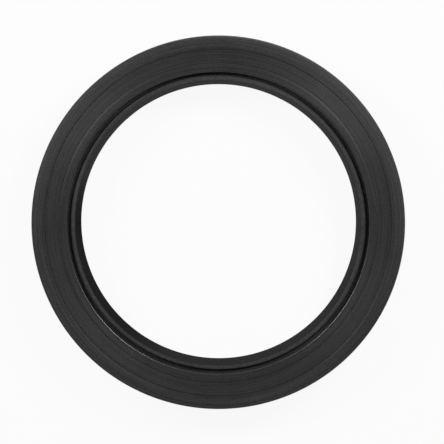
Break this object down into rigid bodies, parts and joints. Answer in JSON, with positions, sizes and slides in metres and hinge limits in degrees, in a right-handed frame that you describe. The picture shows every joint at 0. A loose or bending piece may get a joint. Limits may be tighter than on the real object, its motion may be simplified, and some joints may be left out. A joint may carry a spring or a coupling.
{
  "type": "radial shaft seal",
  "caption": "Rubber-covered ring seal with a spring-loaded main lip and a dust lip, lying on its oil-side rim with the air-side face up.",
  "frame": {"origin": "on the shaft axis, in the plane of the oil-side rim that the seal lies on", "axes": "+Z along the shaft axis, from the oil side to the air side; +X and +Y radial"},
  "size_m": [0.0852, 0.0852, 0.01],
  "materials": {
    "rubber": "satin black moulded nitrile rubber",
    "ring_steel": "dull phosphated sheet steel",
    "spring_wire": "bright drawn spring wire"
  },
  "bodies": {
    "root": {"rubber_body": "rubber", "stiffening_ring": "ring_steel", "garter_spring": "spring_wire"}
  },
  "joints": []
}
